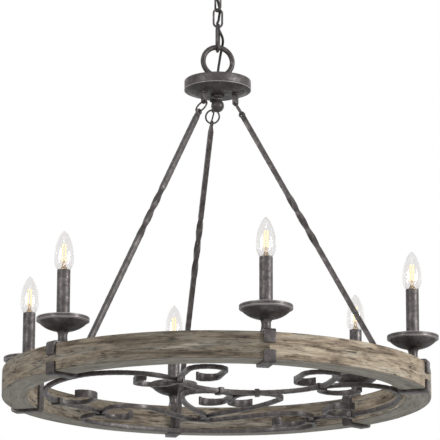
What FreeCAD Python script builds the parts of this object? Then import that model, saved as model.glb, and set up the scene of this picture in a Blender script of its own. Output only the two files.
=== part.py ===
import FreeCAD, Part
import Sketcher
import math
import os
from FreeCAD import Placement, Rotation, Vector

# Wagon wheel chandelier, hung on a short chain. Millimetres, +Z up.
# The origin is the centre of the mounting strap's top face, in the ceiling plane.
# Heights named "lift" are counted from the underside of the wooden rim.

doc = FreeCAD.newDocument("wagon_wheel_chandelier")
sheet = doc.addObject("Spreadsheet::Sheet", "Sizes")

DRIVING = {
    # wooden rim and its iron clamps
    "rim_radius": 400.0, "rim_width": 48.0, "rim_depth": 50.4, "rim_joint": 0.3,
    "clamp_width": 22.0, "clamp_plate": 5.0, "clamp_play": 0.2, "finger_upper": 25.0, "finger_lower": 22.7,
    # forged bars
    "bar_size": 8.0, "bar_gap": 0.3, "tail_thick": 5.0, "tail_height": 15.0, "tail_length": 110.0,
    "scroll_shift": 20.0,
    # candles
    "cup_radius": 47.5, "cup_height": 24.5, "cup_wall": 2.0, "stem_height": 21.0, "stem_radius": 8.5,
    "stem_foot": 10.0, "stem_top": 14.5, "sleeve_radius": 12.0, "sleeve_wall": 1.2, "sleeve_height": 109.4,
    "socket_radius": 10.2, "socket_sink": 3.0, "bulb_radius": 17.5, "bulb_length": 71.4, "base_radius": 6.0,
    "base_length": 19.0, "thread_play": 0.08,
    # rods and their rings
    "rod_size": 9.5, "rod_foot_lift": 18.0, "twist_start": 187.0, "twist_length": 122.0, "twist_turn": 270.0,
    "eye_radius": 6.3, "eye_thick": 4.6, "eye_hole": 2.6, "ring_radius": 15.0, "ring_wire": 3.4,
    "ring_bearing": 0.5, "lug_radius": 35.6, "lug_width": 11.0, "lug_thick": 5.0, "lug_drop": 28.5,
    # hub
    "hub_radius": 64.0, "hub_lift": 603.0, "hub_side": 17.5, "hub_dome": 6.5, "hub_wall": 1.6,
    "cover_dish": 10.0, "disc_radius": 13.0, "ball_radius": 12.5, "stud_radius": 4.8,
    # loops, chain and canopy
    "hub_loop_radius": 33.7, "hub_loop_wire": 10.0, "neck_radius": 9.0, "wire_way": 3.4,
    "connector_length": 58.5, "connector_width": 24.0, "connector_wire": 5.0,
    "link_length": 40.5, "link_width": 21.0, "link_wire": 4.0, "link_skew": 22.8, "link_gap": 0.25,
    "canopy_loop_radius": 20.0, "canopy_loop_wire": 7.0, "canopy_radius": 65.0, "canopy_depth": 30.0,
    "canopy_wall": 1.4, "canopy_collar": 15.0, "collar_height": 9.0, "strap_length": 110.0,
    "strap_width": 20.0, "strap_thick": 2.5, "slot_centre": 39.7, "slot_length": 14.6, "slot_width": 5.0,
    "nut_radius": 8.5, "nut_height": 4.5,
    # cords
    "cord_radius": 2.5, "lead_radius": 1.5, "lead_x": 5.5, "lead_y": 46.5,
}


class Size(float):
    """A number that also remembers the sheet expression it came from."""

    def __new__(cls, value, text):
        size = float.__new__(cls, value)
        size.text = text
        return size

    def _join(self, other, sign, value, swap=False):
        mine, theirs = self.text, getattr(other, "text", repr(float(other)))
        left, right = (theirs, mine) if swap else (mine, theirs)
        return Size(value, "(" + left + " " + sign + " " + right + ")")

    def __add__(self, other):
        return self._join(other, "+", float(self) + float(other))

    def __radd__(self, other):
        return self._join(other, "+", float(other) + float(self), True)

    def __sub__(self, other):
        return self._join(other, "-", float(self) - float(other))

    def __rsub__(self, other):
        return self._join(other, "-", float(other) - float(self), True)

    def __mul__(self, other):
        return self._join(other, "*", float(self) * float(other))

    def __rmul__(self, other):
        return self._join(other, "*", float(other) * float(self), True)

    def __truediv__(self, other):
        return self._join(other, "/", float(self) / float(other))

    def __neg__(self):
        return Size(-float(self), "(0 - " + self.text + ")")


for row, (name, number) in enumerate(DRIVING.items(), start=1):
    sheet.set("A" + str(row), name)
    sheet.set("B" + str(row), str(number))
    sheet.setAlias("B" + str(row), name)
doc.recompute()
size = {name: Size(sheet.get(name), "Sizes." + name) for name in DRIVING}
parts = []


# ---------------------------------------------------------------- derived heights
rim_inner = size["rim_radius"] - size["rim_width"]
seat_radius = rim_inner - size["clamp_play"] - size["clamp_plate"]
clamp_top = size["rim_depth"] + size["clamp_play"] + size["clamp_plate"]
candle_radius = size["rim_radius"] - size["rim_width"] / 2.0
cup_lift = clamp_top + size["stem_height"]
hub_top = size["hub_lift"] + size["hub_side"] + size["hub_dome"]
hub_loop_centre = hub_top + size["hub_loop_radius"]
lug_eye_lift = size["hub_lift"] - size["lug_drop"]
hub_loop_inner = size["hub_loop_radius"] - size["hub_loop_wire"]
connector_low = hub_loop_centre + hub_loop_inner - size["connector_wire"] - size["link_gap"]
connector_high = connector_low + size["connector_length"]
link_b_low = connector_high - size["connector_wire"] - size["link_wire"] - size["link_gap"]
link_b_high = link_b_low + size["link_length"]
link_a_low = link_b_high - size["link_wire"] * 2.0 - size["link_gap"]
link_a_high = link_a_low + size["link_length"]
canopy_loop_low = link_a_high - size["link_wire"] - size["canopy_loop_wire"] - size["link_gap"]
canopy_loop_high = canopy_loop_low + size["canopy_loop_radius"] * 2.0
canopy_low = canopy_loop_high + size["collar_height"]
ceiling = canopy_low + size["canopy_depth"]


# ---------------------------------------------------------------- building helpers
def origin_plane(body, role):
    for feature in body.Origin.OriginFeatures:
        if feature.Role == role:
            return feature


def bind(sketch, constraint, value):
    """Add a dimension and tie it to the sheet where it has an expression."""
    index = sketch.addConstraint(constraint)
    if hasattr(value, "text"):
        sketch.setExpression("Constraints[" + str(index) + "]", value.text)


def draw(sketch, corners, arcs=()):
    """Closed outline through the corners; arcs maps a segment to (radius, +1 left or -1 right centre)."""
    arcs = dict(arcs)
    ends = []
    for i, start in enumerate(corners):
        p = Vector(float(start[0]), float(start[1]), 0)
        stop = corners[(i + 1) % len(corners)]
        q = Vector(float(stop[0]), float(stop[1]), 0)
        if i in arcs:
            radius, side = arcs[i]
            middle, run = (p + q) * 0.5, q - p
            left = Vector(-run.y, run.x, 0).normalize()
            centre = middle + left * side * math.sqrt(max(float(radius) ** 2 - run.Length ** 2 / 4, 0))
            a, b = (p, q) if side > 0 else (q, p)
            first = math.atan2(a.y - centre.y, a.x - centre.x)
            last = math.atan2(b.y - centre.y, b.x - centre.x)
            if last <= first:
                last += 2 * math.pi
            circle = Part.Circle(centre, Vector(0, 0, 1), float(radius))
            sketch.addGeometry(Part.ArcOfCircle(circle, first, last), False)
            bind(sketch, Sketcher.Constraint("Radius", i, float(radius)), radius)
            ends.append((1, 2) if side > 0 else (2, 1))
        else:
            sketch.addGeometry(Part.LineSegment(p, q), False)
            ends.append((1, 2))
    for i, corner in enumerate(corners):
        before = (i - 1) % len(corners)
        sketch.addConstraint(Sketcher.Constraint("Coincident", before, ends[before][1], i, ends[i][0]))
        for kind, axis, value in (("DistanceX", -2, corner[0]), ("DistanceY", -1, corner[1])):
            if float(value) == 0.0:
                sketch.addConstraint(Sketcher.Constraint("PointOnObject", i, ends[i][0], axis))
            else:
                bind(sketch, Sketcher.Constraint(kind, -1, 1, i, ends[i][0], float(value)), value)


def new_body(name, lift, corners, arcs, role):
    body = doc.addObject("PartDesign::Body", name)
    body.Label = name
    sketch = body.newObject("Sketcher::SketchObject", name + "_outline")
    sketch.AttachmentSupport = [(origin_plane(body, role), "")]
    sketch.MapMode = "FlatFace"
    draw(sketch, corners, arcs)
    body.Placement = Placement(Vector(0, 0, float(lift) - float(ceiling)), Rotation())
    parts.append(body)
    return body, sketch


def turned(name, lift, corners, arcs=(), angle=360.0):
    """A piece turned about the vertical axis from its half section (radius, height)."""
    body, sketch = new_body(name, lift, corners, arcs, "XZ_Plane")
    turn = body.newObject("PartDesign::Revolution", name + "_turned")
    turn.Profile = sketch
    turn.ReferenceAxis = (sketch, ["V_Axis"])
    turn.Angle = angle
    return body


def drilled(body, name, x, y, radius):
    """An upright hole right through a turned piece."""
    sketch = body.newObject("Sketcher::SketchObject", name)
    sketch.AttachmentSupport = [(origin_plane(body, "XY_Plane"), "")]
    sketch.MapMode = "FlatFace"
    sketch.addGeometry(Part.Circle(Vector(float(x), float(y), 0), Vector(0, 0, 1), float(radius)), False)
    bind(sketch, Sketcher.Constraint("Radius", 0, float(radius)), radius)
    bind(sketch, Sketcher.Constraint("DistanceX", -1, 1, 0, 3, float(x)), x)
    bind(sketch, Sketcher.Constraint("DistanceY", -1, 1, 0, 3, float(y)), y)
    pocket = body.newObject("PartDesign::Pocket", name + "_cut")
    pocket.Profile = sketch
    pocket.Type = 1
    pocket.Midplane = True


def placed(thing, x=0.0, y=0.0, lift=0.0, angle=0.0):
    """Put a piece at a place given by its lift, turned about the vertical."""
    thing.Placement = Placement(Vector(float(x), float(y), float(lift) - float(ceiling)),
                                Rotation(Vector(0, 0, 1), float(angle)))
    return thing


def formed(name, shape, placement=None):
    """A piece whose shape is worked out in the wheel's own heights."""
    feature = doc.addObject("Part::Feature", name)
    feature.Label = name
    shape = shape.removeSplitter() if len(shape.Solids) > 1 or shape.ShapeType == "Compound" else shape
    feature.Shape = shape
    drop = Placement(Vector(0, 0, -float(ceiling)), Rotation())
    feature.Placement = drop.multiply(placement) if placement else drop
    parts.append(feature)
    return feature


def ruled(sections):
    """A bar through a row of four-cornered sections."""
    wires = [Part.makePolygon(list(corners) + [corners[0]]) for corners in sections]
    return Part.makeLoft(wires, True, True)


def polar(radius, angle, z=0.0):
    return Vector(float(radius) * math.cos(math.radians(angle)), float(radius) * math.sin(math.radians(angle)), z)


CLAMP_ANGLES = [30.0, 90.0, 150.0, 210.0, 270.0, 330.0]
ROD_ANGLES = [90.0, 210.0, 330.0]


# ---------------------------------------------------------------- ceiling fitting
def ceiling_fitting():
    wall = size["canopy_wall"]
    depth, radius, neck = size["canopy_depth"], size["canopy_radius"], size["neck_radius"]
    flat = size["canopy_collar"] + 6.0
    hole = neck * 0.6
    turned("ceiling_canopy", canopy_low, [
        (hole, 0.0), (flat, 0.0), (radius, depth - 4.0), (radius, depth),
        (radius - wall, depth), (radius - wall, depth - 4.0), (flat, wall), (hole, wall),
    ], {1: (radius * 0.75, 1), 5: (radius * 0.75 - wall, -1)})
    strap = Part.makeBox(float(size["strap_length"]), float(size["strap_width"]), float(size["strap_thick"]))
    strap.translate(Vector(-size["strap_length"] / 2, -size["strap_width"] / 2, float(ceiling - size["strap_thick"])))
    half_run = float(size["slot_length"] - size["slot_width"]) / 2
    for side in (-1, 1):
        slot = Part.makeBox(2 * half_run, float(size["slot_width"]), 20.0)
        slot.translate(Vector(side * size["slot_centre"] - half_run, -size["slot_width"] / 2, float(ceiling) - 10))
        for end in (-1, 1):
            centre = Vector(side * size["slot_centre"] + end * half_run, 0, float(ceiling) - 10)
            slot = slot.fuse(Part.makeCylinder(float(size["slot_width"]) / 2, 20.0, centre))
        strap = strap.cut(slot)
    stud = float(hole) - 0.1
    strap = strap.cut(Part.makeCylinder(float(hole), 20.0, Vector(0, 0, float(ceiling) - 10)))
    formed("mounting_strap", strap)
    # threaded nipple: through the canopy and the strap, hollow for the cord
    nipple_low = canopy_low - size["collar_height"] + 1.0
    length = float(ceiling - nipple_low) - 0.5
    nipple = Part.makeCylinder(stud, length).cut(Part.makeCylinder(float(size["wire_way"]), length))
    nipple.translate(Vector(0, 0, float(nipple_low)))
    formed("canopy_nipple", nipple)
    nut = Part.Face(Part.makePolygon([polar(size["nut_radius"], 60.0 * i) for i in range(7)]))
    nut = nut.extrude(Vector(0, 0, float(size["nut_height"])))
    nut = nut.cut(Part.makeCylinder(float(hole), 10.0))
    nut.translate(Vector(0, 0, float(ceiling - size["strap_thick"] - size["nut_height"])))
    formed("canopy_lock_nut", nut)
    # knurled collar that holds the canopy up against the ceiling
    collar, height = size["canopy_collar"], size["collar_height"]
    turned("canopy_collar", canopy_low - height, [
        (hole, 2.0), (collar - 3.0, 2.0), (collar, 4.0), (collar, height - 0.3), (hole, height - 0.3),
    ])


def loop_with_neck(name, centre, radius, wire, neck_low, neck_high):
    """A cast ring standing in the XZ plane with a hollow neck above or below it for the cord."""
    mean = float(radius - wire / 2)
    ring = Part.makeTorus(mean, float(wire) / 2, Vector(0, 0, float(centre)), Vector(0, 1, 0))
    neck = Part.makeCylinder(float(size["neck_radius"]), float(neck_high - neck_low), Vector(0, 0, float(neck_low)))
    bore = Part.makeCylinder(float(size["wire_way"]), float(neck_high - neck_low) + 20,
                             Vector(0, 0, float(neck_low) - 10))
    return ring.fuse(neck).cut(bore)


def canopy_loop():
    centre = canopy_loop_low + size["canopy_loop_radius"]
    high = canopy_low - size["collar_height"] + 0.9
    low = canopy_loop_high - size["canopy_loop_wire"] - 1.5
    shape = loop_with_neck("canopy_loop", centre, size["canopy_loop_radius"], size["canopy_loop_wire"], low, high)
    formed("canopy_loop", shape)


# ---------------------------------------------------------------- chain
def link_shape(length, width, wire):
    """An oval link standing in the XZ plane, its lowest point at the origin."""
    thick = float(wire) / 2
    bend = float(width) / 2 - thick
    low, high = float(width) / 2, float(length) - float(width) / 2
    shape = None
    for x in (-bend, bend):
        side = Part.makeCylinder(thick, high - low, Vector(x, 0, low))
        shape = side if shape is None else shape.fuse(side)
    for z, first in ((low, 180.0), (high, 0.0)):
        half = Part.makeTorus(bend, thick, Vector(0, 0, 0), Vector(0, 0, 1), -180, 180, 180)
        half.rotate(Vector(0, 0, 0), Vector(1, 0, 0), 90 if first == 0.0 else -90)
        half.translate(Vector(0, 0, z))
        shape = shape.fuse(half)
    return shape.removeSplitter()


def chain():
    connector = link_shape(size["connector_length"], size["connector_width"], size["connector_wire"])
    plain = link_shape(size["link_length"], size["link_width"], size["link_wire"])
    upright = Placement(Vector(0, 0, float(connector_low)), Rotation(Vector(0, 0, 1), 90))
    formed("connector_link", connector, upright)
    formed("chain_link_lower", plain, Placement(Vector(0, 0, float(link_b_low)), Rotation()))
    skew = Rotation(Vector(0, 0, 1), 90 + float(size["link_skew"]))
    formed("chain_link_upper", plain, Placement(Vector(0, 0, float(link_a_low)), skew))


# ---------------------------------------------------------------- cords
def tube(points, radius, name):
    """A round cord along straight runs joined by arcs as large as the runs allow."""
    runs = [(b - a).Length for a, b in zip(points, points[1:])]
    edges, at, bends = [], points[0], []
    for i in range(1, len(points) - 1):
        back, on = (points[i - 1] - points[i]).normalize(), (points[i + 1] - points[i]).normalize()
        turn = math.pi - back.getAngle(on)
        cut = 0.45 * min(runs[i - 1], runs[i])
        bends.append(cut / math.tan(turn / 2))
        first, last = points[i] + back * cut, points[i] + on * cut
        bisector = (back + on).normalize()
        middle = points[i] + bisector * (bends[-1] / math.cos(turn / 2) - bends[-1])
        edges.append(Part.LineSegment(at, first).toShape())
        edges.append(Part.Arc(first, middle, last).toShape())
        at = last
    edges.append(Part.LineSegment(at, points[-1]).toShape())
    path = Part.Wire(edges)
    section = Part.Wire(Part.Circle(points[0], points[1] - points[0], float(radius)).toShape())
    solid = path.makePipeShell([section], True, False)
    share = solid.Volume / (math.pi * float(radius) ** 2 * path.Length)
    print(name, "length", round(path.Length, 1), "least bend", round(min(bends), 1), "volume share", round(share, 4))
    return solid


def supply_cord():
    """The cord climbs from the hub through the chain into the canopy, cut where the links turn."""
    start = float(hub_loop_centre - hub_loop_inner) - 3.0
    top = canopy_loop_high - size["canopy_loop_wire"] - 1.0
    route = [
        (0, 0, start), (2.0, 3.5, start + 15), (5.5, 9.5, start + 29), (8.0, 12.0, start + 44),
        (9.5, 7.0, start + 58), (9.0, -4.0, start + 68), (4.0, -14.0, start + 77), (-3.0, -17.0, start + 88),
        (-5.0, -12.5, start + 99), (0.5, -4.0, start + 108), (3.0, 4.0, start + 118), (5.5, 6.0, start + 131),
        (2.0, 1.0, start + 143), (-4.0, -8.5, start + 152), (-4.5, -9.5, start + 166), (-2.0, -6.0, top - 13),
        (0, 0, top - 5), (0, 0, top + 5),
    ]
    points = [Vector(float(x), float(y), float(z)) for x, y, z in route]
    cuts = (4, 9, 12)
    names = ("supply_cord_hub", "supply_cord_lower", "supply_cord_middle", "supply_cord_top")
    first = points[0]
    pieces = []
    last_index = 0
    for name, cut in zip(names, cuts + (None,)):
        if cut is None:
            run = [first] + points[last_index + 1:]
        else:
            stop = (points[cut] + points[cut + 1]) * 0.5
            run = [first] + points[last_index + 1:cut + 1] + [stop]
            first, last_index = stop, cut
        pieces.append((name, run))
    for name, run in pieces:
        formed(name, tube(run, size["cord_radius"], name))


def rod_lead():
    """The lamp lead that leaves the hub cover and enters the upper face of the first rod."""
    mouth, inward = lead_mouth(ROD_ANGLES[0])
    x, y, top = float(size["lead_x"]), float(size["lead_y"]), float(size["hub_lift"]) - 2.0
    points = [Vector(x, y, top), Vector(x, y + 1.5, top - 23.0), Vector(x - 2.0, mouth.y + 7.0, mouth.z + 20.0),
              mouth - inward * 13.0, mouth + inward * 3.0]
    formed("rod_lead", tube(points, size["lead_radius"], "rod_lead"))


# ---------------------------------------------------------------- hub
def hub():
    radius, side, dome, wall = size["hub_radius"], size["hub_side"], size["hub_dome"], size["hub_wall"]
    hole = size["stud_radius"]
    turned("hub_shell", size["hub_lift"], [
        (hole, side + dome - wall), (radius - wall, side - wall), (radius - wall, 0.0), (radius, 0.0),
        (radius, side), (hole, side + dome),
    ])
    dish, inner = size["cover_dish"], radius - wall - 0.2
    cover = turned("hub_cover", size["hub_lift"], [
        (hole, -dish), (radius * 0.62, -dish), (inner, 0.0), (inner, 2.0), (radius * 0.62, wall - dish),
        (hole, wall - dish),
    ])
    drilled(cover, "lead_hole", size["lead_x"], size["lead_y"], size["lead_radius"] * 1.4)
    ball, disc, neck = size["ball_radius"], size["disc_radius"], size["ball_radius"] * 0.4
    low, flange = ball * 2.0, ball * 2.0 + 3.5
    drop = size["hub_lift"] - dish - flange - 5.0
    turned("hub_finial", drop, [
        (0.0, 0.0), (ball, ball), (neck, ball * 1.9165), (neck, flange), (disc, flange), (disc, flange + 4.9),
        (hole, flange + 4.9), (hole, low - 2.0), (0.0, low - 2.0),
    ], {0: (ball, 1), 1: (ball, 1)})
    # hollow threaded spindle: ties loop, shell and cover together
    bottom, top = drop + low - 1.8, hub_top + 2.0
    spindle = Part.makeCylinder(float(hole) - 0.05, float(top - bottom))
    spindle = spindle.cut(Part.makeCylinder(float(size["wire_way"]), float(top - bottom)))
    spindle.translate(Vector(0, 0, float(bottom)))
    formed("hub_spindle", spindle)
    nut = Part.Face(Part.makePolygon([polar(size["nut_radius"], 60.0 * i) for i in range(7)]))
    nut = nut.extrude(Vector(0, 0, float(size["nut_height"]))).cut(Part.makeCylinder(float(hole), 10.0))
    nut.translate(Vector(0, 0, float(size["hub_lift"] - dish + wall) + 0.1))
    formed("hub_lock_nut", nut)
    low, high = hub_top + 0.1, hub_loop_centre - hub_loop_inner
    loop = loop_with_neck("hub_loop", hub_loop_centre, size["hub_loop_radius"], size["hub_loop_wire"], low, high)
    below = Part.makeBox(200, 200, 60, Vector(-100, -100, float(low) - 60))
    seat = Part.makeCylinder(float(hole), 2.1, Vector(0, 0, float(low) - 0.1))
    formed("hub_loop", loop.cut(below).cut(seat))
    # three flat ears riveted under the cover, drilled for the rings
    half, thick = float(size["lug_width"]) / 2, float(size["lug_thick"]) / 2
    eye, top = float(lug_eye_lift), float(size["hub_lift"] - dish)
    ears = []
    for angle in ROD_ANGLES:
        ear = Part.makeBox(2 * half, 2 * thick, top - 0.1 - eye, Vector(-half, -thick, eye))
        ear = ear.fuse(Part.makeCylinder(half, 2 * thick, Vector(0, -thick, eye), Vector(0, 1, 0)))
        ear = ear.fuse(Part.makeCylinder(half + 1.5, 2.0, Vector(0, 0, top - 2.1)))
        ear = ear.cut(Part.makeCylinder(float(size["eye_hole"]), 20, Vector(0, -10, eye), Vector(0, 1, 0)))
        ear.rotate(Vector(0, 0, 0), Vector(0, 0, 1), angle)
        ear.translate(polar(size["lug_radius"], angle))
        ears.append(ear.removeSplitter())
    formed("hub_lugs", Part.makeCompound(ears))


# ---------------------------------------------------------------- rods and rings
def rod_line(angle):
    """From the centre of the ear's hole down to the foot against the clamp."""
    top = polar(size["lug_radius"], angle, float(lug_eye_lift))
    foot = polar(seat_radius - size["rod_size"] / 2.0 - 1.0, angle, float(size["rod_foot_lift"]))
    return top, foot


def rod_axis(angle, distance):
    top, foot = rod_line(angle)
    return top + (foot - top).normalize() * distance


def rods():
    mean, bearing = float(size["ring_radius"] - size["ring_wire"] / 2), float(size["ring_bearing"])
    eye_at = 2 * mean + 2 * bearing
    for index, angle in enumerate(ROD_ANGLES, start=1):
        top, foot = rod_line(angle)
        along = (foot - top).normalize()
        across = Vector(0, 0, 1).cross(polar(1.0, angle)).normalize()
        other = along.cross(across).normalize()
        eye = top + along * eye_at
        full = (foot - eye).Length
        half, flat = float(size["rod_size"]) / 2, float(size["eye_thick"]) / 2
        start, run = float(size["twist_start"]), float(size["twist_length"])
        turn, steps = math.radians(float(size["twist_turn"])), 18
        stations = [(3.0, 0.0, flat, half + 0.3), (18.0, 0.0, half, half)]
        for step in range(steps + 1):
            stations.append((start + run * step / steps, turn * step / steps, half, half))
        stations.append((full + 22.0, turn, half, half))
        sections = []
        for distance, twist, half_u, half_v in stations:
            centre = eye + along * distance
            u = across * math.cos(twist) + other * math.sin(twist)
            v = other * math.cos(twist) - across * math.sin(twist)
            corners = ((-1, -1), (1, -1), (1, 1), (-1, 1))
            sections.append([centre + u * half_u * a + v * half_v * b for a, b in corners])
        rod = ruled(sections)
        # the head is flattened into a round eye for its ring
        rod = rod.fuse(Part.makeCylinder(float(size["eye_radius"]), 2 * flat, eye - across * flat, across))
        rod = rod.cut(Part.makeCylinder(float(size["eye_hole"]), 20.0, eye - across * 10, across))
        # the foot is cut off flat: behind against the clamp, below on the forged bar
        behind = Part.makeBox(60, 60, 120, Vector(float(seat_radius) - 0.2, -30, -60))
        behind.rotate(Vector(0, 0, 0), Vector(0, 0, 1), angle)
        floor = Part.makeBox(1000, 1000, 100, Vector(-500, -500, float(size["bar_size"]) / 2 + 0.3 - 100))
        rod = rod.cut(behind).cut(floor)
        if index == 1:
            mouth, inward = lead_mouth(angle)
            rod = rod.cut(Part.makeCylinder(float(size["lead_radius"]) + 0.3, 6.0, mouth - inward, inward))
        formed("twist_rod_" + str(index), max(rod.Solids, key=lambda solid: solid.Volume))
        # jump ring between the ear's hole and the rod's eye
        centre = top + along * (bearing + mean)
        ring = Part.makeTorus(mean, float(size["ring_wire"]) / 2, centre, along.cross(across))
        formed("suspension_ring_" + str(index), ring)


def lead_mouth(angle):
    """Where the lamp lead enters the upper face of a rod, and the way in."""
    top, foot = rod_line(angle)
    along = (foot - top).normalize()
    across = Vector(0, 0, 1).cross(polar(1.0, angle)).normalize()
    outward = across.cross(along).normalize()
    if outward.dot(polar(1.0, angle)) < 0:
        outward = outward * -1
    return top + along * 44.0 + outward * float(size["rod_size"]) / 2, outward * -1


# ---------------------------------------------------------------- wheel
def rim():
    depth, inner, outer = size["rim_depth"], rim_inner, size["rim_radius"]
    edge = 1.6
    corners = [(inner + edge, 0.0), (outer - edge, 0.0), (outer, edge), (outer, depth - edge),
               (outer - edge, depth), (inner + edge, depth), (inner, depth - edge), (inner, edge)]
    gap = math.degrees(float(size["rim_joint"]) / float(outer))
    for index, first in enumerate((30.0, 150.0, 270.0), start=1):
        piece = turned("rim_segment_" + str(index), 0.0, corners, (), 120.0 - gap)
        placed(piece, 0, 0, 0.0, first)


def clamps():
    """Flat bar bent round the rim, welded shut on the inside, open between two fingers outside."""
    plate, play = size["clamp_plate"], size["clamp_play"]
    inner, outer = rim_inner - play, size["rim_radius"] + play
    low, high = -play, size["rim_depth"] + play
    upper, lower = high + plate - size["finger_upper"], low - plate + size["finger_lower"]
    corners = [(inner - plate, low - plate), (outer + plate, low - plate), (outer + plate, lower), (outer, lower),
               (outer, low), (inner, low), (inner, high), (outer, high), (outer, upper),
               (outer + plate, upper), (outer + plate, high + plate), (inner - plate, high + plate)]
    for index, angle in enumerate(CLAMP_ANGLES, start=1):
        body, sketch = new_body("clamp_" + str(index), 0.0, corners, (), "XZ_Plane")
        pad = body.newObject("PartDesign::Pad", "clamp_bar_" + str(index))
        pad.Profile = sketch
        pad.Length = float(size["clamp_width"])
        pad.setExpression("Length", size["clamp_width"].text)
        pad.Midplane = True
        placed(body, 0, 0, 0.0, angle)


# ---------------------------------------------------------------- forged scrollwork
def walked(x, y, heading, steps, unit):
    """Centre line of a bent bar, walked from one end.
    A step is (radius, turn in degrees, left positive); with radius 0 it is a straight of that length."""
    h = math.radians(heading)
    line = [(x, y, h)]
    for radius, turn in steps:
        if radius == 0:
            x, y = x + turn * unit * math.cos(h), y + turn * unit * math.sin(h)
            line.append((x, y, h))
            continue
        side, r, sweep = math.copysign(1.0, turn), radius * unit, math.radians(turn)
        cx, cy = x - side * r * math.sin(h), y + side * r * math.cos(h)
        count = math.ceil(abs(sweep) / (2 * math.acos(1 - 0.2 / r)))
        for n in range(1, count + 1):
            a = h + sweep * n / count
            line.append((cx + side * r * math.sin(a), cy - side * r * math.cos(a), a))
        x, y, h = line[-1]
    return line


def backwards(line):
    return [(x, y, h + math.pi) for x, y, h in reversed(line)]


def forged(name, line, tails):
    """A square bar along the line; each named end flattens out into a tall fish tail."""
    full, thick, tall = float(size["bar_size"]), float(size["tail_thick"]), float(size["tail_height"])
    lengths = [0.0]
    for a, b in zip(line, line[1:]):
        lengths.append(lengths[-1] + math.hypot(b[0] - a[0], b[1] - a[1]))
    sections = []
    for (x, y, h), s in zip(line, lengths):
        share = 0.0
        for tail in tails:
            far = s if tail == "start" else lengths[-1] - s
            share = max(share, 1.0 - far / float(size["tail_length"]))
        share = share * share * (3 - 2 * share)
        half_t = (full + (thick - full) * share) / 2
        half_h = (full + (tall - full) * share) / 2
        nx, ny = -math.sin(h) * half_t, math.cos(h) * half_t
        sections.append([Vector(x - nx, y - ny, -half_h), Vector(x + nx, y + ny, -half_h),
                         Vector(x + nx, y + ny, half_h), Vector(x - nx, y - ny, half_h)])
    return formed(name, ruled(sections))


def flipped(line, side, axis=0.0):
    """A right-hand line carried to side +1 or -1 of an upright axis."""
    if side > 0:
        return [(axis + x, y, h) for x, y, h in line]
    return [(axis - x, y, math.pi - h) for x, y, h in line]


def both_halves(right, left):
    """One line from two that start at the same middle point."""
    return backwards(left)[:-1] + right


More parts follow.
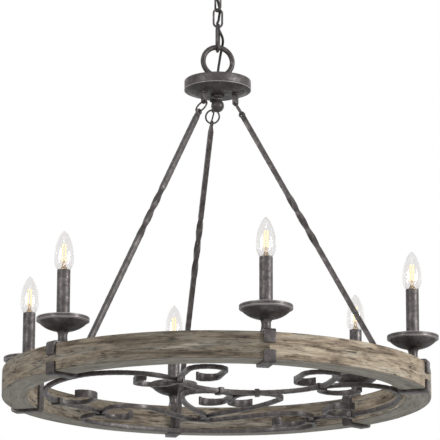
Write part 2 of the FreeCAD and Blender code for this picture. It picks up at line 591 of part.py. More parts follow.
def scrollwork():
    unit = float(rim_inner) / 352.0
    bar = float(size["bar_size"])
    touch = bar + float(size["bar_gap"])
    ring_line = float(seat_radius - size["bar_gap"]) - bar / 2
    shift = float(size["scroll_shift"])
    bands = []

    # arch: a C-scroll with its back to the middle of the wheel
    half = walked(0.0, -90.0 * unit, 0.0, [(140, -58), (120, -32), (0, 62), (35, -90), (31.5, -90), (0, 50),
                                           (21, -90), (17.5, -80)], unit)
    forged("scroll_arch", both_halves(flipped(half, 1, shift), flipped(half, -1, shift)), ("start", "end"))
    arch_x, arch_y, arch_r = 16.9 * unit, -219.4 * unit, 120.0 * unit
    lean = math.radians(20.0)

    # heart: two scrolls back to back, their curls inside
    stem = touch / 2
    stem_top = 211.6 * unit
    bends = [(70, 38), (360, -26), (0, 20), (45, -102), (43.4, -90), (0, 42), (26, -90), (20, -80)]
    x, y, h = walked(stem, stem_top, -90.0, bends[:3], unit)[-1]
    lobe_x, lobe_y = x + 45 * unit * math.sin(h), y - 45 * unit * math.cos(h)
    seat = -230.0 * unit + math.sqrt(((140 + 45) * unit + touch) ** 2 - lobe_x ** 2)
    heart = walked(stem, stem_top, -90.0, [(0, (lobe_y - seat) / unit)] + bends, unit)
    forged("scroll_heart_right", flipped(heart, 1, shift), ("end",))
    forged("scroll_heart_left", flipped(heart, -1, shift), ("end",))
    bands.append(band(shift, stem_top - 9.0, 0.0))
    lobe_turn = math.atan2(seat + 230.0 * unit, lobe_x)
    for side in (1, -1):
        reach = 140.0 * unit + touch / 2
        bands.append(band(shift + side * reach * math.cos(lobe_turn), -230.0 * unit + reach * math.sin(lobe_turn),
                          math.degrees(lobe_turn) * side))
        reach = arch_r + touch / 2
        bands.append(band(shift + side * (arch_x + reach * math.cos(lean)), arch_y + reach * math.sin(lean),
                          20.0 * side))

    # crest: one bar over the heart's point, curled at both ends
    crest = walked(0.0, 217.0 * unit, 0.0, [(45, -46), (0, 120), (60, 46), (42, 90), (0, 45), (36, 90), (24, 90),
                                            (20, 60)], unit)
    forged("scroll_crest", both_halves(flipped(crest, 1, shift), flipped(crest, -1, shift)), ("start", "end"))

    # loops: their backs lie against the clamps at 210 and 330 degrees
    clamp_dir = math.radians(-30.0)
    px, py = ring_line * math.cos(clamp_dir), ring_line * math.sin(clamp_dir)
    nx, ny = -math.cos(clamp_dir), -math.sin(clamp_dir)
    curl, lobe = 38.0 * unit, 36.0 * unit
    lobe_cx, lobe_cy = 262.0 * unit, 55.0 * unit

    def back_radius(cx, cy, r):
        wx, wy = cx - px, cy - py
        return (wx * wx + wy * wy - r * r) / (2 * (wx * nx + wy * ny - r))

    top_halves = {}
    for side, name in ((1, "scroll_loop_right"), (-1, "scroll_loop_left")):
        offset = side * shift
        reach = arch_r + touch + curl
        kx, ky = offset + arch_x + reach * math.cos(lean), arch_y + reach * math.sin(lean)
        big = back_radius(kx, ky, curl)
        turn = math.degrees(math.atan2(ky - py - big * ny, kx - px - big * nx)) % 360.0
        lower = walked(px, py, -120.0, [(big / unit, turn - 330.0), (38, 90.0 - turn), (34, -90), (0, 20), (20, -70)],
                       unit)
        wide = back_radius(lobe_cx, lobe_cy, lobe)
        turn = math.degrees(math.atan2(lobe_cy - py - wide * ny, lobe_cx - px - wide * nx))
        upper = walked(px, py, 60.0, [(wide / unit, turn + 30.0), (36, 180.0 - turn), (0, 38), (24, 90), (20, 60)],
                       unit)
        forged(name, flipped(backwards(lower)[:-1] + upper, side), ("start", "end"))

        # half of the bow that runs along the rim behind the crest and down onto the loop
        bend = 50.0 * unit
        beside = offset + 201.0 * unit + touch
        angle = math.asin((beside - 31.93 * unit) / (ring_line - bend))
        cy = (ring_line - bend) * math.cos(angle) - 57.36 * unit
        cx = beside + bend
        wrap = lobe + touch
        run = math.hypot(lobe_cx - cx, lobe_cy - cy)
        heading = math.atan2(lobe_cy - cy, lobe_cx - cx) + math.asin((bend + wrap) / run)
        straight = math.sqrt(run ** 2 - (bend + wrap) ** 2)
        top_halves[side] = walked(0.0, ring_line, 0.0, [
            (ring_line / unit, -math.degrees(angle)), (50, math.degrees(angle) - 125.0),
            (50, 125.0 + math.degrees(heading)), (0, straight / unit), (wrap / unit, -13.0)], unit)
        bands.append(band(side * (beside - touch / 2), min(cy, 186.0 * unit), 0.0))
        away = lobe + touch / 2
        normal = heading + math.pi / 2
        bands.append(band(side * (lobe_cx + away * math.cos(normal)), lobe_cy + away * math.sin(normal),
                          math.degrees(normal) * side))
    forged("scroll_bow", both_halves(top_halves[1], flipped(top_halves[-1], -1)), ())
    # collars: flat bands shrunk round each pair of bars where they touch
    formed("scroll_collars", Part.makeCompound(bands))


def band(x, y, angle):
    """A flat band round two bars; angle points from one bar to the other."""
    wall, width = 2.2, 9.0
    wide, tall = float(size["bar_size"] * 2.0 + size["bar_gap"]) + 1.6, float(size["bar_size"]) + 0.4
    outer = Part.makeBox(wide + 2 * wall, width, tall + 2 * wall,
                         Vector(-wide / 2 - wall, -width / 2, -tall / 2 - wall))
    hole = Part.makeBox(wide, width + 2, tall, Vector(-wide / 2, -width / 2 - 1, -tall / 2))
    shape = outer.cut(hole)
    shape.rotate(Vector(0, 0, 0), Vector(0, 0, 1), angle)
    shape.translate(Vector(x, y, 0))
    return shape


# ---------------------------------------------------------------- candles
def candles():
    cup, wall, height = size["cup_radius"], size["cup_wall"], size["cup_height"]
    stem, foot, top = size["stem_radius"], size["stem_foot"], size["stem_top"]
    rise, sleeve = size["stem_height"], size["sleeve_radius"]
    lip = height - 7.5
    sleeves, sockets = [], []
    socket_low = float(cup_lift + wall)
    socket_high = float(cup_lift + size["sleeve_height"] + wall) - float(size["socket_sink"])
    bore = float(size["base_radius"] + size["thread_play"])
    for index, angle in enumerate(CLAMP_ANGLES, start=1):
        spot = polar(candle_radius, angle)
        piece = turned("candle_cup_" + str(index), clamp_top, [
            (0.0, 0.1), (foot, 0.1), (stem, rise * 0.4), (top, rise), (cup - 4.0, rise + lip), (cup, rise + lip),
            (cup, rise + height), (cup - wall, rise + height), (cup - wall, rise + lip + wall),
            (cup - 4.0 - wall, rise + lip + wall), (top, rise + wall), (0.0, rise + wall),
        ], {3: (cup * 1.1, 1), 9: (cup * 1.1 - wall, -1)})
        placed(piece, spot.x, spot.y, clamp_top, angle)
        sleeve_low = Vector(spot.x, spot.y, socket_low + 0.1)
        tube_shape = Part.makeCylinder(float(sleeve), float(size["sleeve_height"]) - 0.1, sleeve_low)
        tube_shape = tube_shape.cut(Part.makeCylinder(float(sleeve - size["sleeve_wall"]), 200.0, sleeve_low))
        sleeves.append(tube_shape)
        socket_foot = Vector(spot.x, spot.y, socket_low + 0.1)
        stalk = Part.makeCylinder(4.0, socket_high - 30.0 - socket_low - 0.1, socket_foot)
        shell_low = Vector(spot.x, spot.y, socket_high - 30.0)
        shell = Part.makeCylinder(float(size["socket_radius"]), 30.0, shell_low)
        depth = float(size["base_length"] - size["socket_sink"]) + 0.3
        cavity = Part.makeCylinder(bore, depth + 1.0, Vector(spot.x, spot.y, socket_high - depth))
        sockets.append(stalk.fuse(shell).cut(cavity).removeSplitter())
    formed("candle_sleeves", Part.makeCompound(sleeves))
    formed("lamp_sockets", Part.makeCompound(sockets))
    base, length = size["base_radius"], size["base_length"]
    globe, tall = size["bulb_radius"], size["bulb_length"]
    for index, angle in enumerate(CLAMP_ANGLES, start=1):
        spot = polar(candle_radius, angle)
        bulb = turned("bulb_" + str(index), 0.0, [
            (0.0, -length), (base - 1.5, -length), (base, 1.0 - length), (base, 0.5), (base + 1.0, 3.0),
            (globe, tall * 0.36), (globe * 0.62, tall * 0.72), (1.6, tall), (0.0, tall),
        ], {4: (tall * 0.42, 1), 5: (tall * 0.62, 1), 6: (tall * 0.8, -1)})
        placed(bulb, spot.x, spot.y, cup_lift + wall + size["sleeve_height"], angle)


ceiling_fitting()
canopy_loop()
chain()
supply_cord()
hub()
rods()
rod_lead()
rim()
clamps()
scrollwork()
candles()
doc.recompute()

broken = [thing.Label for thing in doc.Objects if "Invalid" in thing.State or "Error" in thing.State]
for piece in parts:
    if piece.Shape.isNull() or not piece.Shape.isValid() or not piece.Shape.Solids:
        broken.append(piece.Label)
if broken:
    raise ValueError("not built: " + ", ".join(broken))
os.makedirs("parts", exist_ok=True)
for piece in parts:
    piece.Shape.exportStep("parts/" + piece.Label + ".step")
print(len(parts), "nodes, ceiling", round(float(ceiling), 2))
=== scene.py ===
import math
import bmesh
import bpy
import numpy as np
from mathutils import Matrix, Vector


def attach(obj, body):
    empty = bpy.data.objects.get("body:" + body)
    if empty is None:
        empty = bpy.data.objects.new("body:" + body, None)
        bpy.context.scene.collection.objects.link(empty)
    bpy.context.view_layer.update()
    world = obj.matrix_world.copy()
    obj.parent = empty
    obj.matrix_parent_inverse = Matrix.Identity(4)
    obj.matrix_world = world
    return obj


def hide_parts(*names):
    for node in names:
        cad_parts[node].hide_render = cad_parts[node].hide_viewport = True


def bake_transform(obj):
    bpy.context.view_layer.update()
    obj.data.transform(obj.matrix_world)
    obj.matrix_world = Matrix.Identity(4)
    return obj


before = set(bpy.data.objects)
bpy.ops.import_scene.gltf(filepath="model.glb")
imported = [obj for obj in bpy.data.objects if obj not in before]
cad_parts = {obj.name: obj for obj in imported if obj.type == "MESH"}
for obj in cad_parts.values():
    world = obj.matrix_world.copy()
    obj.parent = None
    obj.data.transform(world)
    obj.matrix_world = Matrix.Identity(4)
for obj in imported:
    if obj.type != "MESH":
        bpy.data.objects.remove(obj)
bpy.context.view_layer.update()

# The picture: seen from below and a little to one side, against white, in soft even light.
# The lamp hangs from the ceiling plane at height 0, and the room's floor is far below it.
ceiling_lift = 868.9  # millimetres from the underside of the wheel to the ceiling
turn = math.radians(-13.2)
tilt, roll, yaw = 0.2470, 0.00343, 0.00109
stand_off, eye_lift = -4.99257, -912.27
focal_pixels, frame_pixels, film_width = 2715.14, 440.0, 36.0
right = Vector((math.cos(yaw), -math.sin(yaw), 0.0))
ahead = Vector((math.sin(yaw) * math.cos(tilt), math.cos(yaw) * math.cos(tilt), math.sin(tilt)))
above = Vector((-math.sin(yaw) * math.sin(tilt), -math.cos(yaw) * math.sin(tilt), math.cos(tilt)))
across = right * math.cos(roll) + above * math.sin(roll)
upward = above * math.cos(roll) - right * math.sin(roll)
view = Matrix((across, upward, -ahead)).transposed().to_4x4()
view.translation = Vector((0.0, stand_off, (eye_lift - ceiling_lift) / 1000))
camera = bpy.data.objects.new("camera", bpy.data.cameras.new("camera"))
camera.data.sensor_width = film_width
camera.data.lens = focal_pixels * film_width / frame_pixels
camera.data.clip_end = 60.0
camera.matrix_world = Matrix.Rotation(turn, 4, "Z") @ view
bpy.context.scene.collection.objects.link(camera)
bpy.context.scene.camera = camera
bpy.context.scene.view_settings.view_transform = "Standard"


def put(tree, socket, value):
    """Give a socket a plain value, or join another node's output to it."""
    if isinstance(value, bpy.types.NodeSocket):
        tree.links.new(value, socket)
    else:
        socket.default_value = value


def node(tree, kind, settings=(), **values):
    """One shader node; settings are its own properties and values go to its sockets by name."""
    made = tree.nodes.new("ShaderNode" + kind)
    for key, value in dict(settings).items():
        setattr(made, key, value)
    for key, value in values.items():
        put(tree, made.inputs[key.replace("_", " ")], value)
    return made


def maths(tree, operation, *values):
    """A number worked out from others, each a plain number or another node's output."""
    made = node(tree, "Math", {"operation": operation})
    for socket, value in zip(made.inputs, values):
        put(tree, socket, value)
    return made.outputs[0]


def finish(name, **values):
    """A new finish by name, its node tree and its shader, with the values on the shader's sockets."""
    made = bpy.data.materials.new(name)
    made.use_nodes = True
    tree = made.node_tree
    shader = tree.nodes["Principled BSDF"]
    for key, value in values.items():
        put(tree, shader.inputs[key.replace("_", " ")], value)
    return made, tree, shader


world = bpy.data.worlds.new("soft_room")
world.use_nodes = True
bpy.context.scene.world = world
sky = world.node_tree
for item in list(sky.nodes):
    sky.nodes.remove(item)
seen = node(sky, "LightPath").outputs
mirrored = maths(sky, "MAXIMUM", seen["Is Camera Ray"], seen["Is Glossy Ray"])
either = maths(sky, "MAXIMUM", mirrored, seen["Is Transmission Ray"])
room = node(sky, "Background", Color=(0.93, 0.95, 1.0, 1.0), Strength=0.40)
white = node(sky, "Background", Color=(1.0, 1.0, 1.0, 1.0), Strength=1.0)
both = node(sky, "MixShader")
for socket, value in zip(both.inputs, (either, room.outputs[0], white.outputs[0])):
    put(sky, socket, value)
node(sky, "OutputWorld", Surface=both.outputs[0])

for name, place, aim, wide, watts in (
    ("soft_front", (2.9, -2.7, 0.1), (0, 0, -0.6), 1.5, 125.0),
    ("soft_side", (-2.9, -1.9, 0.2), (0, 0, -0.6), 1.4, 40.0),
    ("soft_below", (-0.5, -2.4, -2.0), (0, 0, -0.3), 1.0, 12.0),
):
    lamp = bpy.data.lights.new(name, "AREA")
    lamp.shape, lamp.size, lamp.energy = "DISK", wide, watts
    light = bpy.data.objects.new(name, lamp)
    light.location = place
    light.rotation_euler = (Vector(aim) - Vector(place)).to_track_quat("-Z", "Y").to_euler()
    bpy.context.scene.collection.objects.link(light)

floor_half, floor_level = 9, -2.45
corners = [(x * floor_half, y * floor_half, floor_level) for x, y in ((-1, -1), (1, -1), (1, 1), (-1, 1))]
floor_mesh = bpy.data.meshes.new("floor")
floor_mesh.from_pydata(corners, [], [(0, 1, 2, 3)])
floor = bpy.data.objects.new("floor", floor_mesh)
bpy.context.scene.collection.objects.link(floor)
paint, tree, shader = finish("pale_floor", Base_Color=(0.8, 0.8, 0.79, 1.0), Roughness=0.8)
seen = node(tree, "LightPath").outputs["Is Camera Ray"]
put(tree, shader.inputs["Emission Strength"], maths(tree, "MULTIPLY", seen, 0.45))
floor_mesh.materials.append(paint)


# Ceiling canopy: a spun steel dome with a knurled collar, hung on a hollow nipple through the
# mounting strap. It is finished in the same dark weathered zinc as all the ironwork.
def ramp(tree, value, stops):
    """A smooth run of colours along a value from 0 to 1."""
    made = tree.nodes.new("ShaderNodeValToRGB")
    tree.links.new(value, made.inputs["Fac"])
    band = made.color_ramp
    while len(band.elements) < len(stops):
        band.elements.new(0.5)
    for element, (place, colour) in zip(band.elements, stops):
        element.position = place
        element.color = (*colour, 1.0)
    return made.outputs["Color"]


def lift(z):
    """Height in metres below the ceiling, from millimetres above the underside of the wheel."""
    return (z - ceiling_lift) / 1000


def weathered_zinc(name, stops, patch, metal, rough, worn_and_highlit_heights=()):
    """Dark patina: large soft patches, small pale scuffs and a fine grainy skin. Where the piece has
    edges at the given heights (mm above the wheel's underside) a pale line is painted, partly wear and partly a
    painted highlight."""
    made, tree, shader = finish(name, Metallic=metal)
    spot = node(tree, "TexCoord").outputs["Object"]
    patches = node(tree, "TexNoise", Vector=spot, Scale=patch, Detail=8.0, Roughness=0.68, Distortion=0.4)
    grain = node(tree, "TexNoise", Vector=spot, Scale=620.0, Detail=4.0, Roughness=0.7)
    skin_tone = maths(tree, "MULTIPLY_ADD", grain.outputs["Fac"], 0.34, patches.outputs["Fac"])
    skin_tone = maths(tree, "SUBTRACT", skin_tone, 0.17)
    colour = ramp(tree, skin_tone, stops)
    level = node(tree, "SeparateXYZ", Vector=spot).outputs["Z"]
    # the pale line at each height: partly wear of the patina, partly a painted highlight along the edge
    for height in worn_and_highlit_heights:
        off = maths(tree, "ABSOLUTE", maths(tree, "SUBTRACT", level, lift(height)))
        share = node(tree, "MapRange", Value=off, From_Min=0.0004, From_Max=0.0016, To_Min=0.8, To_Max=0.0)
        worn_and_highlit = node(tree, "Mix", {"data_type": "RGBA"}, Factor=share.outputs["Result"])
        put(tree, worn_and_highlit.inputs[6], colour)
        put(tree, worn_and_highlit.inputs[7], (0.36, 0.33, 0.32, 1.0))
        colour = worn_and_highlit.outputs[2]
    put(tree, shader.inputs["Base Color"], colour)
    sheen = node(tree, "MapRange", Value=patches.outputs["Fac"], From_Min=0.3, From_Max=0.7,
                 To_Min=rough + 0.1, To_Max=rough - 0.1)
    put(tree, shader.inputs["Roughness"], sheen.outputs["Result"])
    pits = node(tree, "Bump", Height=skin_tone, Strength=0.35, Distance=0.0006)
    put(tree, shader.inputs["Normal"], pits.outputs["Normal"])
    return made


patina = [(0.30, (0.020, 0.017, 0.016)), (0.46, (0.045, 0.037, 0.035)), (0.58, (0.074, 0.062, 0.059)),
          (0.80, (0.19, 0.165, 0.160))]
iron = weathered_zinc("aged_iron", patina, 70.0, 0.25, 0.42)


def piece(name, points, faces, coat, slot, body, nodes=(), sharp=38.0):
    """A finished piece from points in metres: joined, normals outwards, smooth except at edges
    sharper than the given degrees. It rides on a body and stands for the nodes of the solid model."""
    mesh = bpy.data.meshes.new(name)
    mesh.from_pydata(points.tolist(), [], faces)
    shell = bmesh.new()
    shell.from_mesh(mesh)
    bmesh.ops.remove_doubles(shell, verts=shell.verts, dist=1e-7)
    bmesh.ops.recalc_face_normals(shell, faces=shell.faces)
    shell.to_mesh(mesh)
    shell.free()
    mesh.polygons.foreach_set("use_smooth", np.ones(len(mesh.polygons), bool))
    mesh.set_sharp_from_angle(angle=math.radians(sharp))
    mesh.materials.append(coat)
    made = bpy.data.objects.new(name, mesh)
    bpy.context.scene.collection.objects.link(made)
    if nodes:
        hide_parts(*nodes)
    if body:
        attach(made, body)
    return made


def skin(grid, ring=False):
    """Quads over grid[i, j]: i runs along the piece, j once round it. ring joins the last row to
    the first; otherwise each end is closed by a fan to its middle."""
    rows, cols = grid.shape[:2]
    i, j = np.meshgrid(np.arange(rows if ring else rows - 1), np.arange(cols), indexing="ij")
    after, beside = (i + 1) % rows, (j + 1) % cols
    faces = np.stack([i * cols + j, i * cols + beside, after * cols + beside, after * cols + j], -1)
    faces = faces.reshape(-1, 4).tolist()
    points = grid.reshape(-1, 3)
    if not ring:
        points = np.vstack([points, grid[0].mean(0), grid[-1].mean(0)])
        k = np.arange(cols)
        last = (rows - 1) * cols
        faces += np.stack([np.full(cols, rows * cols), (k + 1) % cols, k], -1).tolist()
        faces += np.stack([np.full(cols, rows * cols + 1), last + k, last + (k + 1) % cols], -1).tolist()
    return points, faces


def together(parts):
    """Several skins as one list of points and faces."""
    points, faces, count = [], [], 0
    for some_points, some_faces in parts:
        points.append(some_points)
        faces += [[corner + count for corner in face] for face in some_faces]
        count += len(some_points)
    return np.vstack(points), faces


def rounded_line(corners, each=6):
    """A smooth line through the corners: between two of them it is the Catmull-Rom cubic."""
    p = np.array(corners, float)
    p = np.vstack([2 * p[0] - p[1], p, 2 * p[-1] - p[-2]])
    t = (np.arange(each) / each)[None, :, None]
    a, b, c, d = p[:-3, None], p[1:-2, None], p[2:-1, None], p[3:, None]
    square, cube = 2 * a - 5 * b + 4 * c - d, 3 * b - a - 3 * c + d
    line = 0.5 * (2 * b + (c - a) * t + square * t ** 2 + cube * t ** 3)
    return np.vstack([line.reshape(-1, p.shape[1]), p[-2]])


def turned(profile, x=0.0, y=0.0, base=0.0, steps=72):
    """Turned on a lathe: the profile (radius, height in mm) is carried round the upright axis at
    (x, y). A profile whose first and last points lie on the axis is solid, any other is a closed wall."""
    profile = np.array(profile, float)
    angle = np.linspace(0, 2 * np.pi, steps, endpoint=False)
    solid = profile[0, 0] < 0.5 and profile[-1, 0] < 0.5
    r, z = profile[:, 0], profile[:, 1] + base
    grid = np.stack([(x + np.outer(np.cos(angle), r)) / 1000, (y + np.outer(np.sin(angle), r)) / 1000,
                     np.broadcast_to(lift(z), (steps, len(r)))], -1)
    if solid:
        return skin(grid.transpose(1, 0, 2))
    return skin(grid, ring=True)


canopy_low, collar_low, hub_low, ball_low = 838.9, 829.9, 603.0, 559.5
outer = rounded_line([(21, 0), (30, 1.2), (42, 5.2), (53, 11.6), (60, 18.4), (64.2, 25.2), (65, 26.4)], 8)
canopy = np.vstack([[(5.4, 0.0)], outer, [(65, 30), (63.6, 30), (63.6, 26.4)],
                    outer[::-1] * (0.975, 1.0) + (0.1, 1.4), [(5.4, 1.4)]])
piece("canopy", *turned(canopy, base=canopy_low, steps=128), iron, "aged_iron", "ceiling", ["ceiling_canopy"])

# the collar's rim is knurled: every second pair of its points stands back by the cut
points_round, collar_radius, knurl_cut = 192, 15.0, 0.35
angle = np.linspace(0, 2 * np.pi, points_round, endpoint=False)
knurl = collar_radius - knurl_cut * (np.arange(points_round) % 4 > 1)
rings = [(5.5, 2.0), (12.2, 2.0), (knurl, 4.0), (knurl, 7.8), (14.2, 8.7), (5.5, 8.7)]
grid = np.stack([np.stack([r * np.cos(angle) / 1000, r * np.sin(angle) / 1000,
                           np.full(points_round, lift(collar_low + z))], -1) for r, z in rings], 1)
piece("knurled_collar", *skin(grid, ring=True), iron, "aged_iron", "ceiling", ["canopy_collar"], 30.0)
# the small parts that keep the shape of the solid model take the ironwork's finish
for name in ("mounting_strap", "canopy_nipple", "canopy_lock_nut", "hub_spindle", "hub_lock_nut", "hub_lugs"):
    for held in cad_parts[name].material_slots:
        held.material = iron


# Canopy loop and hub loop: cast rings with a short hollow neck, through which the cord runs.
# The round bar of each ring is swept once round; the neck is turned and runs into it.
def round_bar(centres, side, up, radius, ring=True, around=20):
    """A round bar: a circle of the radius carried along the centres, in the plane of side and up."""
    a = np.linspace(0, 2 * np.pi, around, endpoint=False)
    out = np.cos(a)[None, :, None] * side[:, None] + np.sin(a)[None, :, None] * up[:, None]
    return skin(centres[:, None] + radius * out, ring)


def hoop(centre, one, two, mean, radius, steps=96):
    """A ring of round bar: the centre line is a circle in the plane of the directions one and two."""
    a = np.linspace(0, 2 * np.pi, steps, endpoint=False)
    one, two = np.array(one, float), np.array(two, float)
    outward = np.outer(np.cos(a), one) + np.outer(np.sin(a), two)
    axis = np.broadcast_to(np.cross(one, two), outward.shape)
    return round_bar(np.array(centre) + mean * outward, outward, axis, radius)


X, Z = (1.0, 0.0, 0.0), (0.0, 0.0, 1.0)
neck = [(3.4, 0.0), (9.0, 0.0), (9.0, 4.0), (8.4, 6.2), (6.6, 8.4), (3.4, 9.4)]
loop = [hoop((0, 0, lift(660.7)), X, Z, 0.0287, 0.005), turned(neck, base=627.1)]
piece("hub_ring", *together(loop), iron, "aged_iron", "fixture", ["hub_loop"])
neck = [(3.4, 9.4), (9.0, 9.4), (9.0, 4.4), (7.6, 2.4), (5.8, 0.6), (3.4, 0.2)]
loop = [hoop((0, 0, lift(809.9)), X, Z, 0.0165, 0.0035), turned(neck, base=821.4)]
piece("canopy_ring", *together(loop), iron, "aged_iron", "ceiling", ["canopy_loop"])


# Chain: two welded oval links and a longer connector, each bent from round wire.
# A link stands upright in its own plane; the upper one hangs a little askew.
def oval(low, length, width, wire, heading):
    """A link standing upright at the heading: two straight sides joined by half circles."""
    bend, half = (width - wire) / 2, wire / 2
    z0, z1 = low + width / 2, low + length - width / 2
    up = np.linspace(z0, z1, 14)
    a = np.linspace(0, np.pi, 22)[1:-1]
    across = np.concatenate([np.full(14, bend), bend * np.cos(a), np.full(14, -bend), -bend * np.cos(a)])
    height = np.concatenate([up, z1 + bend * np.sin(a), up[::-1], z0 - bend * np.sin(a)])
    turn_x = np.concatenate([np.ones(14), np.cos(a), -np.ones(14), -np.cos(a)])
    turn_z = np.concatenate([np.zeros(14), np.sin(a), np.zeros(14), -np.sin(a)])
    h = math.radians(heading)
    flat = np.array([math.cos(h), math.sin(h), 0.0])
    centres = np.outer(across, flat) / 1000
    centres[:, 2] = lift(height)
    outward = np.outer(turn_x, flat)
    outward[:, 2] = turn_z
    axis = np.broadcast_to(np.array([math.sin(h), -math.cos(h), 0.0]), outward.shape)
    return round_bar(centres, outward, axis, half / 1000)


for name, body, solid, sizes in (
    ("link_upper", "upper_link", "chain_link_upper", (760.65, 40.5, 21.0, 4.0, 112.8)),
    ("link_lower", "lower_link", "chain_link_lower", (728.4, 40.5, 21.0, 4.0, 0.0)),
    ("link_connector", "connector", "connector_link", (679.15, 58.5, 24.0, 5.0, 90.0)),
):
    piece(name, *oval(*sizes), iron, "aged_iron", body, [solid])

# Supply cord: black round cable that climbs from the hub, weaves through the chain and goes into
# the canopy. It is in four lengths, one for each joint of the chain that bends it.
rubber, tree, shader = finish("cord_black", Roughness=0.42)
smear = node(tree, "TexNoise", Vector=node(tree, "TexCoord").outputs["Object"], Scale=160.0, Detail=5.0)
soft_black = [(0.35, (0.006, 0.006, 0.006)), (0.7, (0.022, 0.021, 0.021))]
put(tree, shader.inputs["Base Color"], ramp(tree, smear.outputs["Fac"], soft_black))
dull = node(tree, "Bump", Height=smear.outputs["Fac"], Strength=0.15, Distance=0.0003)
put(tree, shader.inputs["Normal"], dull.outputs["Normal"])


def cable(name, route, diameter):
    """A cable: the route's smooth spline gives its centre line, and a circle is carried along it.
    The circle is laid out square to a slanting direction, which the line never takes."""
    curve = bpy.data.curves.new(name + "_line", "CURVE")
    curve.dimensions = "3D"
    spline = curve.splines.new("NURBS")
    spline.points.add(len(route) - 1)
    for held, (x, y, z) in zip(spline.points, route):
        held.co = (x / 1000, y / 1000, lift(z), 1.0)
    spline.order_u = 3
    spline.use_endpoint_u = True
    spline.resolution_u = 10
    line = bpy.data.objects.new(name + "_line", curve)
    bpy.context.scene.collection.objects.link(line)
    bpy.context.view_layer.update()
    flat = bpy.data.meshes.new_from_object(line)
    path = np.array([v.co for v in flat.vertices], float)
    bpy.data.objects.remove(line)
    ahead = np.gradient(path, axis=0)
    ahead /= np.linalg.norm(ahead, axis=1)[:, None]
    slant = (0.31, 0.83, 0.05)
    side = np.cross(ahead, slant)
    side /= np.linalg.norm(side, axis=1)[:, None]
    points, faces = round_bar(path, side, np.cross(ahead, side), diameter / 2, ring=False, around=18)
    return points, faces, path


climb = [(0, 0, 634.0), (2.0, 3.5, 649.0), (5.5, 9.5, 663.0), (8.0, 12.0, 678.0), (10.4, 8.4, 692.4),
         (10.2, -3.0, 703.0), (4.0, -14.0, 711.0), (-3.0, -17.0, 722.0), (-5.0, -12.5, 733.0),
         (0.5, -4.0, 742.0), (3.0, 4.0, 752.0), (5.5, 6.0, 765.0), (2.0, 1.0, 777.0), (-4.0, -8.5, 786.0),
         (-4.5, -9.5, 800.0), (-2.0, -6.0, 808.9), (0, 0, 816.9), (0, 0, 826.9)]
cord_thick, lead_thick = 0.005, 0.003  # metres
# name, solid, first and last point, body below and above, length, heights between which it bends
lengths = [("cord_hub", "supply_cord_hub", 0, 4, "fixture", "connector", 0.0684, 645, 696),
           ("cord_lower", "supply_cord_lower", 4, 9, "connector", "lower_link", 0.0660, 700, 745),
           ("cord_middle", "supply_cord_middle", 9, 12, "lower_link", "upper_link", 0.0398, 749, 780),
           ("cord_top", "supply_cord_top", 12, 17, "upper_link", "ceiling", 0.0504, 783, 815)]
for name, solid, first, last, below, over, length, start, end in lengths:
    # the lengths meet half way between two points of the climb
    route = climb[first + 1:last + 1]
    before = climb[0] if first == 0 else tuple(np.add(climb[first], climb[first + 1]) / 2)
    after = [] if last == len(climb) - 1 else [tuple(np.add(climb[last], climb[last + 1]) / 2)]
    points, faces, path = cable(name, [before] + route + after, cord_thick)
    made = piece(name, points, faces, rubber, "cord_black", None, [solid])
    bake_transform(made)


# Hub: a spun steel drum with a softly domed top and a dished cover let into its underside.
# A ball finial screws up under the cover; three drilled ears hold the rings of the rods.
dome = rounded_line([(62.6, 18.8), (55, 20.6), (42, 22.4), (26, 23.4), (4.8, 24.0)], 6)
lip = [(62.4, 0.0), (62.7, -0.5), (63.3, -0.75), (64.1, -0.3), (64.35, 0.5), (64.1, 1.3), (63.6, 2.1)]
wall = [(63.9, 3.2), (64, 16.6), (63.7, 17.9)]
drum = np.vstack([lip, wall, dome, dome[::-1] - (0.0, 1.6), [(62.4, 16.2)]])
# the drum's lip gets a pale line, partly wear and partly a painted highlight
lip_highlit_zinc = weathered_zinc("lip_wear_and_highlight", patina, 70.0, 0.25, 0.42, (602.4,))
piece("hub_drum", *turned(drum, base=hub_low, steps=128), lip_highlit_zinc, "aged_iron", "fixture", ["hub_shell"])
dish = rounded_line([(4.8, -10.0), (30, -10.0), (39.7, -9.6), (48, -6.4), (56, -2.6), (61.4, -0.6),
                     (62.2, 0.6)], 6)
cover = np.vstack([dish, [(62.2, 2.0)], (dish[::-1] + (0.0, 1.6))[2:]])
piece("hub_dish", *turned(cover, base=hub_low, steps=128), iron, "aged_iron", "fixture", ["hub_cover"])
a, ball_radius = np.radians(np.linspace(-88, 62, 26)), 12.5
ball = np.stack([ball_radius * np.cos(a), ball_radius + ball_radius * np.sin(a)], 1)
finial = np.vstack([[(0.0, 0.0)], ball, [(5.0, 24.6), (5.2, 27.4), (6.4, 28.4), (12.2, 28.6), (13.0, 29.4),
                                         (13.0, 32.6), (12.4, 33.4), (0.0, 33.4)]])
piece("ball_finial", *turned(finial, base=ball_low), iron, "aged_iron", "fixture", ["hub_finial"])


# Three hanging rods of square bar, each with three quarters of a turn of twist in its upper half,
# flattened and drilled at the top for a jump ring and cut off flat at the foot on its clamp.
def section(half_a, half_b, radius, each=5):
    """A rounded rectangle at every station: a quarter circle of the radius round each of its corners."""
    angle = np.linspace(0, np.pi / 2, each)[None, :] + (np.arange(4) * np.pi / 2)[:, None]
    sign_a, sign_b = np.array([1, -1, -1, 1.0])[:, None], np.array([1, 1, -1, -1.0])[:, None]
    a = np.reshape(sign_a * (half_a[:, None, None] - radius) + radius * np.cos(angle), (len(half_a), -1))
    b = np.reshape(sign_b * (half_b[:, None, None] - radius) + radius * np.sin(angle), (len(half_b), -1))
    return a, b


def flat_bar(centres, side, up, half_side, half_up, radius):
    """Bar of rounded rectangular section along the centres, with its own width and height at each."""
    a, b = section(half_side, half_up, radius)
    return centres[:, None] + a[:, :, None] * side[:, None] + b[:, :, None] * up[:, None]


def smooth(share):
    """A share from 0 to 1 that starts and ends gently: three times its square less twice its cube."""
    return share * share * (3 - 2 * share)


